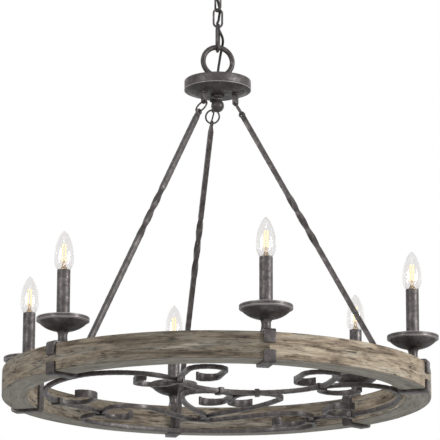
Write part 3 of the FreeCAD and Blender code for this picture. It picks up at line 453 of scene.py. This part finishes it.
def outward_and_beside(heading):
    """The level directions away from the lamp's middle and along the wheel, at a heading in degrees."""
    h = math.radians(heading)
    return np.array([math.cos(h), math.sin(h), 0]), np.array([-math.sin(h), math.cos(h), 0])


clamp_face, rod_half, foot_gap, foot_lift = 346.8, 4.75, 1.0, 18.0
ear_out, ear_lift, ring_mid, ring_reach = 35.6, 574.5, 13.8, 27.6
twist_start, twist_length, twist_turn = 187.0, 122.0, 270.0
place = np.array([0, 0, -ceiling_lift])
for number, heading in ((1, 90.0), (2, 210.0), (3, 330.0)):
    radial, tangent = outward_and_beside(heading)
    ear = radial * ear_out + np.array([0, 0, ear_lift])
    foot = radial * (clamp_face - rod_half - foot_gap) + np.array([0, 0, foot_lift])
    along = (foot - ear) / np.linalg.norm(foot - ear)
    other = np.cross(along, tangent)
    eye = ear + along * ring_reach
    full = np.linalg.norm(foot - eye)
    s = np.concatenate([np.linspace(3, 22, 12), np.linspace(24, 180, 40), np.linspace(182, 316, 110),
                        np.linspace(320, full + 22, 60)])
    twist = np.radians(twist_turn) * np.clip((s - twist_start) / twist_length, 0, 1)
    flatten = smooth(np.clip((s - 3.0) / 15.0, 0, 1))
    dents = 0.07 * np.sin(s * 0.37 + heading) + 0.05 * np.sin(s * 0.91)
    wide = 2.3 + 2.45 * flatten + dents * flatten
    deep = 5.05 - 0.3 * flatten + dents * flatten
    u = np.outer(np.cos(twist), tangent) + np.outer(np.sin(twist), other)
    v = np.outer(np.cos(twist), other) - np.outer(np.sin(twist), tangent)
    grid = flat_bar(eye + np.outer(s, along), u, v, wide, deep, 0.7)
    # the foot is cut off by the clamp's face and by the level of its lower leg
    past = np.maximum((grid @ radial - clamp_face + 0.2) / (along @ radial), (4.3 - grid[:, :, 2]) / -along[2])
    grid = grid - np.maximum(past, 0.0)[:, :, None] * along
    r, z = section(np.array([1.85]), np.array([2.3]), 0.7)
    a = np.linspace(0, 2 * np.pi, 56, endpoint=False)
    outward = np.outer(np.cos(a), along) + np.outer(np.sin(a), other)
    washer = eye + (4.45 + r[0])[None, :, None] * outward[:, None] + z[0][None, :, None] * tangent
    bar = [skin((grid + place) / 1000), skin((washer + place) / 1000, ring=True)]
    piece("rod_%d" % number, *together(bar), iron, "aged_iron", "fixture", ["twist_rod_%d" % number], 32.0)
    middle = (ear + along * ring_mid + place) / 1000
    ring = hoop(middle, tangent, along, 0.0133, 0.0017, 64)
    piece("jump_ring_%d" % number, *ring, iron, "aged_iron", "fixture", ["suspension_ring_%d" % number])

# Lamp lead: a thin black cable from a hole in the hub's cover into the first rod, free in between.
lead = [(5.5, 46.5, 601.0), (5.5, 48.0, 578.0), (3.5, 68.0, 558.2), (0.0, 72.4, 544.5), (0.0, 58.4, 536.8)]
points, faces, path = cable("lamp_lead", lead, lead_thick)
made = piece("lamp_lead", points, faces, rubber, "cord_black", "fixture", ["rod_lead"])

# Wheel rim: three felloes sawn from thick weathered boards, butted under the clamps.
# Their grain runs along the rim; edges are worn round and the faces are checked and stained.
wood, tree, shader = finish("weathered_wood", Roughness=0.82)
grain = node(tree, "Attribute", {"attribute_name": "grain"}).outputs["Vector"]


def grained(scale, detail, rough, bent=0.0):
    """A mottle stretched along the grain; scale is its fineness along, across and up the board."""
    stretched = node(tree, "Mapping", Vector=grain, Scale=scale).outputs["Vector"]
    made = node(tree, "TexNoise", Vector=stretched, Scale=1.0, Detail=detail, Roughness=rough, Distortion=bent)
    return made.outputs["Fac"]


fibre = grained((30.0, 300.0, 300.0), 6.0, 0.7)
boards = grained((6.0, 34.0, 60.0), 7.0, 0.62, 0.5)
stains = grained((20.0, 55.0, 90.0), 8.0, 0.75)
cracks = grained((26.0, 300.0, 300.0), 5.0, 0.6, 0.25)
base = ramp(tree, boards, [(0.30, (0.095, 0.072, 0.050)), (0.40, (0.19, 0.150, 0.108)),
                           (0.50, (0.325, 0.275, 0.205)), (0.58, (0.25, 0.232, 0.196)),
                           (0.68, (0.50, 0.445, 0.355))])
streak = ramp(tree, fibre, [(0.36, (0.20, 0.17, 0.15)), (0.46, (0.75, 0.72, 0.69)), (0.58, (1.0, 1.0, 1.0))])
soot = ramp(tree, stains, [(0.36, (0.24, 0.21, 0.18)), (0.47, (0.78, 0.75, 0.71)), (0.58, (1.0, 1.0, 1.0))])
board = node(tree, "Attribute", {"attribute_name": "board"}).outputs["Fac"]
spot = node(tree, "SeparateXYZ", Vector=node(tree, "TexCoord").outputs["Object"]).outputs["Z"]


def below(low, high):
    """1 under the low height, 0 over the high one (mm above the wheel's underside)."""
    made = node(tree, "MapRange", Value=spot, From_Min=lift(low), From_Max=lift(high), To_Min=1.0, To_Max=0.0)
    return made.outputs["Result"]


def mixed(share, one, two, how="MIX"):
    """Two colours laid together by a share from 0 to 1, mixed or multiplied."""
    made = node(tree, "Mix", {"data_type": "RGBA", "blend_type": how}, Factor=share)
    for socket, colour in ((made.inputs[6], one), (made.inputs[7], two)):
        put(tree, socket, (*colour, 1.0) if isinstance(colour, tuple) else colour)
    return made.outputs[2]


def darkened(colour, streaks, dirt=0.0, splits=0.85):
    """A colour with the dark of the fibres, of the soot and of the open cracks, each by its share."""
    colour = mixed(streaks, colour, streak, "MULTIPLY")
    if dirt:
        colour = mixed(dirt, colour, soot, "MULTIPLY")
    return mixed(splits, colour, split, "MULTIPLY")


# the cracks open in clusters, where the stains are dark; the underside is coloured greyer and
# plainer than the sides, and a dark line of painted shade runs along its corner
clear = node(tree, "MapRange", Value=stains, From_Min=0.44, From_Max=0.56, To_Min=0.0, To_Max=0.16)
opened = maths(tree, "ADD", cracks, clear.outputs["Result"])
split = ramp(tree, opened, [(0.41, (0.035, 0.03, 0.025)), (0.455, (1.0, 1.0, 1.0))])
toned = node(tree, "VectorMath", {"operation": "SCALE"}, Scale=board)
put(tree, toned.inputs[0], base)
side = darkened(toned.outputs[0], 0.85, 0.85)
plain = darkened(ramp(tree, boards, [(0.3, (0.20, 0.185, 0.15)), (0.7, (0.34, 0.325, 0.28))]), 0.55, 0.0, 0.5)
# painted shade: a dark band along the corner between the sides and the underside
corner_shaded = mixed(below(1.7, 3.0), side, (0.06, 0.05, 0.042))
put(tree, shader.inputs["Base Color"], mixed(below(0.6, 1.9), corner_shaded, plain))
relief = node(tree, "Bump", Height=maths(tree, "MINIMUM", fibre, cracks), Strength=0.6, Distance=0.002)
put(tree, shader.inputs["Normal"], relief.outputs["Normal"])

rim_middle, rim_lift, half_across, half_tall, worn_edge, stations = 376.0, 25.2, 23.9, 25.1, 1.6, 300
for number, start in ((1, 30.0), (2, 150.0), (3, 270.0)):
    around = np.radians(np.linspace(start + 0.02, start + 119.94, stations))
    s = around * rim_middle
    one = np.ones(stations)
    wear = 0.35 * np.sin(s * 0.043 + number) + 0.25 * np.sin(s * 0.117 + 2.0 * number)
    a, b = section(half_across * one, half_tall * one, worn_edge, 7)
    fine = np.linspace(0, 1, 9)[:-1]
    a = (a[:, :, None] * (1 - fine) + np.roll(a, -1, 1)[:, :, None] * fine).reshape(stations, -1)
    b = (b[:, :, None] * (1 - fine) + np.roll(b, -1, 1)[:, :, None] * fine).reshape(stations, -1)
    ripple = 0.10 * np.sin(b * 0.9 + s[:, None] * 0.021) + 0.08 * np.sin(a * 1.3 + s[:, None] * 0.035)
    shrink = 1.0 - (0.004 + 0.003 * np.abs(wear)[:, None]) * (np.abs(a) > 21) * (np.abs(b) > 22)
    radius = rim_middle + (a - np.sign(a) * (0.1 + ripple)) * shrink
    z = rim_lift + (b - np.sign(b) * (0.1 + ripple)) * shrink
    grid = np.stack([radius * np.cos(around)[:, None], radius * np.sin(around)[:, None], z - ceiling_lift], -1)
    made = piece("felloe_%d" % number, *skin(grid / 1000), wood, "weathered_wood", "fixture",
                 ["rim_segment_%d" % number], 40.0)
    co = np.empty(len(made.data.vertices) * 3, np.float32)
    made.data.vertices.foreach_get("co", co)
    co = co.reshape(-1, 3)
    spin = (np.degrees(np.arctan2(co[:, 1], co[:, 0])) - start + 10.0) % 360.0 - 10.0
    along_grain = np.radians(spin) * rim_middle / 1000 + 1.7 * number
    seat = np.stack([along_grain, np.hypot(co[:, 0], co[:, 1]), co[:, 2] + 0.13 * number], -1)
    held = made.data.attributes.new("grain", "FLOAT_VECTOR", "POINT")
    held.data.foreach_set("vector", seat.astype(np.float32).ravel())
    # each board has its own tone, partly its stain and partly painted light: the third, on the side
    # the key light falls on, is painted brighter; the second grows darker towards its far joint
    deeper = smooth(np.clip((spin - 55.0) / 40.0, 0, 1))
    stain_and_light_tone, fall = {1: (0.9, 0.0), 2: (1.08, 0.42), 3: (1.42, 0.0)}[number]
    held = made.data.attributes.new("board", "FLOAT", "POINT")
    held.data.foreach_set("value", (stain_and_light_tone - fall * deeper).astype(np.float32))


# Six clamps: flat bar bent hot round the rim, closed on the inside and left open outside between
# two short fingers. The bends are round and the edges are eased.
def filleted(corners, radius, steps=7):
    """A path of straight runs whose corners are quarter circles of the radius."""
    corners = np.array(corners, float)
    path = [corners[0]]
    for before, corner, after in zip(corners, corners[1:], corners[2:]):
        back, on = [(other - corner) / np.linalg.norm(other - corner) for other in (before, after)]
        middle = corner + (back + on) * radius
        a = np.linspace(0, np.pi / 2, steps)[:, None]
        path.append(middle - on * radius * np.cos(a) - back * radius * np.sin(a))
    path.append(corners[-1])
    return np.vstack(path)


strap = filleted([(402.7, 30.7), (402.7, 53.1), (349.3, 53.1), (349.3, -2.7), (402.7, -2.7),
                  (402.7, 17.4)], 2.9)
ahead = np.gradient(strap, axis=0)
ahead /= np.linalg.norm(ahead, axis=1)[:, None]
half_thick, half_wide = 2.48, 10.9
for number in range(6):
    radial, tangent = outward_and_beside(30.0 + 60.0 * number)
    centres = np.outer(strap[:, 0], radial) + np.outer(strap[:, 1] - ceiling_lift, Z)
    normal = np.outer(ahead[:, 1], radial) - np.outer(ahead[:, 0], Z)
    one = np.ones(len(strap))
    flat = np.broadcast_to(tangent, normal.shape)
    grid = flat_bar(centres, normal, flat, half_thick * one, half_wide * one, 0.8)
    name = "clamp_%d" % (number + 1)
    piece("strap_" + name, *skin(grid / 1000), iron, "aged_iron", "fixture", [name], 30.0)


# Scrollwork: square bar bent cold round jigs into an arch, a heart of two bars, a crest, two side
# loops and a bow along the rim. The curled ends are drawn out into tall thin fish tails.
def walked(x, y, heading, bends):
    """A bar's centre line: each bend is (radius, degrees to the left), or (0, length) for a straight."""
    h = math.radians(heading)
    xs, ys, hs = [np.array([x])], [np.array([y])], [np.array([h])]
    for radius, amount in bends:
        length = amount if radius == 0 else radius * abs(math.radians(amount))
        s = np.linspace(0, 1, max(2, int(length / 1.6)))[1:]
        if radius == 0:
            xs.append(x + s * amount * math.cos(h))
            ys.append(y + s * amount * math.sin(h))
            hs.append(np.full(len(s), h))
        else:
            side = math.copysign(1.0, amount)
            a = h + s * math.radians(amount)
            xs.append(x - side * radius * math.sin(h) + side * radius * np.sin(a))
            ys.append(y + side * radius * math.cos(h) - side * radius * np.cos(a))
            hs.append(a)
        x, y, h = xs[-1][-1], ys[-1][-1], hs[-1][-1]
    return np.stack([np.concatenate(xs), np.concatenate(ys), np.concatenate(hs)], 1)


def backwards(line):
    """The same line walked from its other end."""
    return line[::-1] + (0, 0, math.pi)


def carried(line, side, middle=0.0):
    """A right-hand line put at the pattern's middle, or its mirror image for side -1."""
    if side > 0:
        return line + (middle, 0, 0)
    return line * (-1, 1, -1) + (middle, 0, math.pi)


tail_length = 110.0


def scroll(name, line, tails, seed):
    """Hammered square bar along the line: 8 mm each way, spreading to 5 by 15 over its last 110 mm."""
    step = np.hypot(*np.diff(line[:, :2], axis=0).T)
    s = np.concatenate([[0.0], np.cumsum(step)])
    share = np.zeros(len(s))
    for tail in tails:
        far = s if tail == "start" else s[-1] - s
        share = np.maximum(share, np.clip(1 - far / tail_length, 0, 1))
    share = smooth(share)
    hammer = 0.09 * np.sin(s * 0.41 + seed) + 0.07 * np.sin(s * 0.83 + 2 * seed) + 0.05 * np.sin(s * 1.9)
    rim = np.sqrt(1 - (1 - np.clip(np.minimum(s, s[-1] - s) / 2.0, 0.0, 1)) ** 2) * 0.7 + 0.3
    thick = (4.0 - 1.5 * share + 0.6 * hammer - 0.05) * rim
    tall = (4.0 + 3.5 * share + hammer - 0.05) * (0.4 + 0.6 * rim)
    up = np.broadcast_to(np.array(Z), (len(s), 3))
    side = np.stack([-np.sin(line[:, 2]), np.cos(line[:, 2]), np.zeros(len(s))], 1)
    centres = np.stack([line[:, 0], line[:, 1], np.full(len(s), -ceiling_lift)], 1)
    grid = flat_bar(centres, side, up, thick, tall, 0.75) / 1000
    return piece("forged_" + name, *skin(grid), iron, "aged_iron", "fixture", [name], 34.0)


# shift is the pattern's middle, touch the distance between two bars' lines where they are tied,
# and seat_line the radius of a bar's line where it lies against the clamps
shift, touch, seat_line = 20.0, 8.3, clamp_face - 0.3 - 4.0
arch_radius, back_arch, lobe_radius, arch_middle = 140, 120, 45, -230.0
half = walked(0, arch_middle + arch_radius, 0, [(arch_radius, -58), (back_arch, -32), (0, 62), (35, -90),
                                               (31.5, -90), (0, 50), (21, -90), (17.5, -80)])
arch = np.vstack([backwards(carried(half, -1, shift))[:-1], carried(half, 1, shift)])
scroll("scroll_arch", arch, ("start", "end"), 0.3)
bends = [(70, 38), (360, -26), (0, 20), (lobe_radius, -102), (43.4, -90), (0, 42), (26, -90), (20, -80)]
heart_tip = 211.6
x, y, h = walked(touch / 2, heart_tip, -90, bends[:3])[-1]
lobe_x, lobe_y = x + lobe_radius * math.sin(h), y - lobe_radius * math.cos(h)
lobe_seat = arch_middle + math.sqrt((arch_radius + lobe_radius + touch) ** 2 - lobe_x ** 2)
heart = walked(touch / 2, heart_tip, -90, [(0, lobe_y - lobe_seat)] + bends)
scroll("scroll_heart_right", carried(heart, 1, shift), ("end",), 1.1)
scroll("scroll_heart_left", carried(heart, -1, shift), ("end",), 2.3)
crest = walked(0, 217, 0, [(45, -46), (0, 120), (60, 46), (42, 90), (0, 45), (36, 90), (24, 90), (20, 60)])
whole = np.vstack([backwards(carried(crest, -1, shift))[:-1], carried(crest, 1, shift)])
scroll("scroll_crest", whole, ("start", "end"), 3.7)

# collars on the heart's tip and, on the arch, beside each lobe and each side loop; the loops touch
# the arch's tighter part, round (mid_x, mid_y), at the lean
lean, lobe_turn = math.radians(20.0), math.atan2(lobe_seat - arch_middle, lobe_x)
ties = [(shift, heart_tip - 9.0, 0.0)]
mid_x, mid_y = 16.9, -219.4
for side in (1, -1):
    out, low = arch_radius + touch / 2, back_arch + touch / 2
    ties.append((shift + side * out * math.cos(lobe_turn), arch_middle + out * math.sin(lobe_turn),
                 side * math.degrees(lobe_turn)))
    ties.append((shift + side * (mid_x + low * math.cos(lean)), mid_y + low * math.sin(lean), side * 20.0))
# a side loop touches the clamp at this heading in (px, py); (nx, ny) points inwards from there
at_clamp = math.radians(-30.0)
px, py = seat_line * math.cos(at_clamp), seat_line * math.sin(at_clamp)
nx, ny = -math.cos(at_clamp), 0.5


def back_radius(cx, cy, r):
    """Radius of the arc that leaves the clamp square on and runs smoothly into a curl of radius r."""
    wx, wy = cx - px, cy - py
    return (wx * wx + wy * wy - r * r) / (2 * (wx * nx + wy * ny - r))


curl, wide_curl, turn_bend = 38, 36, 50
wide_x, wide_y = 262.0, 55.0
# the bow turns off by turn_off degrees in its first bend; the bend's middle lies bend_across inside
# the line beside the crest, and the next bend's middle lies bend_down lower
crest_reach, turn_off, bend_across, bend_down = 201.0, 125.0, 31.93, 57.36
wrap = wide_curl + touch
bow = {}
for side, name in ((1, "scroll_loop_right"), (-1, "scroll_loop_left")):
    offset = side * shift
    kx = offset + mid_x + (back_arch + touch + curl) * math.cos(lean)
    ky = mid_y + (back_arch + touch + curl) * math.sin(lean)
    big = back_radius(kx, ky, curl)
    faced = math.degrees(math.atan2(ky - py - big * ny, kx - px - big * nx)) % 360.0
    lower = walked(px, py, -120, [(big, faced - 330.0), (curl, 90.0 - faced), (34, -90), (0, 20), (20, -70)])
    wide = back_radius(wide_x, wide_y, wide_curl)
    faced = math.degrees(math.atan2(wide_y - py - wide * ny, wide_x - px - wide * nx))
    upper = walked(px, py, 60, [(wide, faced + 30.0), (wide_curl, 180.0 - faced), (0, 38), (24, 90), (20, 60)])
    scroll(name, carried(np.vstack([backwards(lower)[:-1], upper]), side), ("start", "end"), 5.0 + side)
    # the bow follows the rim, turns off beside the crest, and runs straight to the wide curl
    beside = offset + crest_reach + touch
    inner = seat_line - turn_bend
    swing = math.asin((beside - bend_across) / inner)
    cx, cy = beside + turn_bend, inner * math.cos(swing) - bend_down
    run = math.hypot(wide_x - cx, wide_y - cy)
    heading = math.atan2(wide_y - cy, wide_x - cx) + math.asin((turn_bend + wrap) / run)
    straight = math.sqrt(run ** 2 - (turn_bend + wrap) ** 2)
    bow[side] = walked(0, seat_line, 0, [
        (seat_line, -math.degrees(swing)), (turn_bend, math.degrees(swing) - turn_off),
        (turn_bend, turn_off + math.degrees(heading)), (0, straight), (wrap, -13.0)])
    ties.append((side * (beside - touch / 2), min(cy, 186.0), 0.0))
    normal, reach = heading + math.pi / 2, wide_curl + touch / 2
    ties.append((side * (wide_x + reach * math.cos(normal)), wide_y + reach * math.sin(normal),
                 side * math.degrees(normal)))
scroll("scroll_bow", np.vstack([backwards(carried(bow[-1], -1))[:-1], bow[1]]), (), 7.9)

# each collar is a strip wrapped round two bars where they touch
a, b = [outline[0] for outline in section(np.array([10.0]), np.array([5.3]), 1.6, 6)]
thick, wide = np.full(len(a), 1.08), np.full(len(a), 4.5)
bands = []
for x, y, heading in ties:
    over, along = outward_and_beside(heading)
    middle = np.array([x, y, -ceiling_lift]) + np.outer(a, over) + np.outer(b, Z)
    ahead = np.roll(middle, -1, 0) - np.roll(middle, 1, 0)
    ahead /= np.linalg.norm(ahead, axis=1)[:, None]
    outward = np.cross(ahead, along)
    grid = flat_bar(middle, outward, np.broadcast_to(along, outward.shape), thick, wide, 0.6)
    bands.append(skin(grid / 1000, ring=True))
piece("forged_collars", *together(bands), iron, "aged_iron", "fixture", ["scroll_collars"], 32.0)

# Candles: a turned cup with a pan on each clamp, a plain sleeve of mottled zinc in the pan, and a
# candelabra lamp in the socket inside it.
mottle = [(0.28, (0.026, 0.021, 0.021)), (0.45, (0.055, 0.046, 0.045)), (0.58, (0.10, 0.086, 0.084)),
          (0.76, (0.22, 0.195, 0.19))]
zinc = weathered_zinc("mottled_zinc", mottle, 95.0, 0.35, 0.48)
black, tree, shader = finish("socket_black", Roughness=0.5)
mould = node(tree, "TexNoise", Vector=node(tree, "TexCoord").outputs["Object"], Scale=400.0, Detail=3.0)
moulded = [(0.3, (0.010, 0.010, 0.010)), (0.7, (0.026, 0.025, 0.024))]
put(tree, shader.inputs["Base Color"], ramp(tree, mould.outputs["Fac"], moulded))
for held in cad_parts["lamp_sockets"].material_slots:
    held.material = black

glass = finish("clear_glass", Base_Color=(0.90, 0.89, 0.885, 1.0), Roughness=0.02, Transmission_Weight=1.0,
               IOR=1.45)[0]
# the filaments' yellow is their own colour; their faint glow is painted light
painted_glow = finish("filament_painted_glow", Base_Color=(0.95, 0.62, 0.22, 1.0), Emission_Color=(1.0, 0.80, 0.50, 1.0),
              Emission_Strength=0.9)[0]
stem = finish("amber_stem", Base_Color=(0.93, 0.74, 0.50, 1.0), Roughness=0.08, Transmission_Weight=0.75)[0]
brass = finish("lamp_base", Base_Color=(0.42, 0.33, 0.2, 1.0), Metallic=0.9, Roughness=0.35)[0]

under = rounded_line([(10.0, 0.6), (9.2, 3.5), (8.5, 8.4), (8.6, 13.0), (9.7, 17.8), (13.2, 21.0), (21.2, 23.0),
                      (31.2, 27.1), (39.0, 32.4), (43.6, 37.0)], 5)
bowl = rounded_line([(42.3, 39.8), (37.2, 35.6), (30.0, 30.6), (21.5, 26.2), (14.0, 23.2), (9.0, 22.9)], 5)
brim = [(44.0, 37.9), (46.9, 38.2), (47.5, 38.8), (47.5, 44.9), (47.0, 45.5), (46.0, 45.5), (45.5, 45.0),
        (45.5, 40.4), (43.6, 40.1)]
cup = np.vstack([[(0.0, 0.1), (9.6, 0.1)], under, brim, bowl, [(0.0, 22.9)]])
tube = [(10.8, 0.1), (12.0, 0.1), (12.0, 109.0), (11.7, 109.4), (11.0, 109.4), (10.8, 109.1)]
flame = rounded_line([(10.2, -1.2), (10.5, 0.4), (12.2, 1.8), (14.3, 5.2), (16.0, 9.4), (17.2, 14.4),
                      (17.5, 20.0), (17.45, 27.0), (16.9, 35.0), (15.7, 43.0), (13.7, 50.5), (11.2, 57.4),
                      (8.5, 63.2), (5.6, 67.8), (2.6, 70.7), (0.4, 71.3)], 5)
envelope = np.vstack([[(0.0, 71.4)], flame[::-1], flame * (0.93, 0.98) + (0.0, 0.2), [(0.0, 70.1)]])
# the cups' brim edges get pale lines, partly wear and partly painted highlights
rim_highlit_zinc = weathered_zinc("rim_wear_and_highlight", patina, 70.0, 0.25, 0.42, (93.9, 101.0))
screw = [(0.0, -19.0), (4.4, -19.0), (5.9, -17.6), (5.9, -2.7), (9.4, -2.6), (9.8, -2.1), (0.0, -1.9)]
flare = rounded_line([(7.6, -1.8), (6.2, 3.0), (3.4, 9.0), (2.2, 14.0), (2.6, 17.0)], 4)
post = np.vstack([[(0.0, -1.8)], flare, [(0.0, 17.8)]])
cup_foot, sleeve_foot, lamp_foot = 55.6, 78.6, 188.0
sleeves = []
for number in range(6):
    radial, tangent = outward_and_beside(30.0 + 60.0 * number)
    x, y = rim_middle * radial[0], rim_middle * radial[1]
    lamp, name = "lamp_%d" % (number + 1), "bulb_%d" % (number + 1)
    cup_name = "cup_%d" % (number + 1)
    piece(cup_name, *turned(cup, x, y, cup_foot, 112), rim_highlit_zinc, "aged_iron", "fixture", ["candle_" + cup_name])
    sleeves.append(turned(tube, x, y, sleeve_foot, 64))
    bulb = turned(envelope, x, y, lamp_foot, 64)
    piece("glass_" + lamp, *bulb, glass, "clear_glass", lamp, [name], 60.0)
    piece("base_" + lamp, *turned(screw, x, y, lamp_foot), brass, "clear_glass", lamp)
    piece("stem_" + lamp, *turned(post, x, y, lamp_foot, 32), stem, "clear_glass", lamp)
    # four straight filaments stand round the stem and lean a little inwards
    wires = []
    for k in range(4):
        out = outward_and_beside(45 + 90 * k)[0]
        low = np.array([x, y, lamp_foot + 16.0 - ceiling_lift]) + 4.4 * out
        high = np.array([x, y, lamp_foot + 47.0 - ceiling_lift]) + 3.6 * out
        along = (high - low) / np.linalg.norm(high - low)
        line = low + np.outer(np.linspace(0, 1, 8), high - low)
        one = np.cross(along, (0.2, 0.9, 0.1))
        one /= np.linalg.norm(one)
        one, two = [np.broadcast_to(way, line.shape) for way in (one, np.cross(along, one))]
        wires.append(round_bar(line / 1000, one, two, 0.00075, ring=False, around=10))
    piece("filaments_" + lamp, *together(wires), painted_glow, "clear_glass", lamp)
piece("zinc_sleeves", *together(sleeves), zinc, "mottled_zinc", "fixture", ["candle_sleeves"], 30.0)
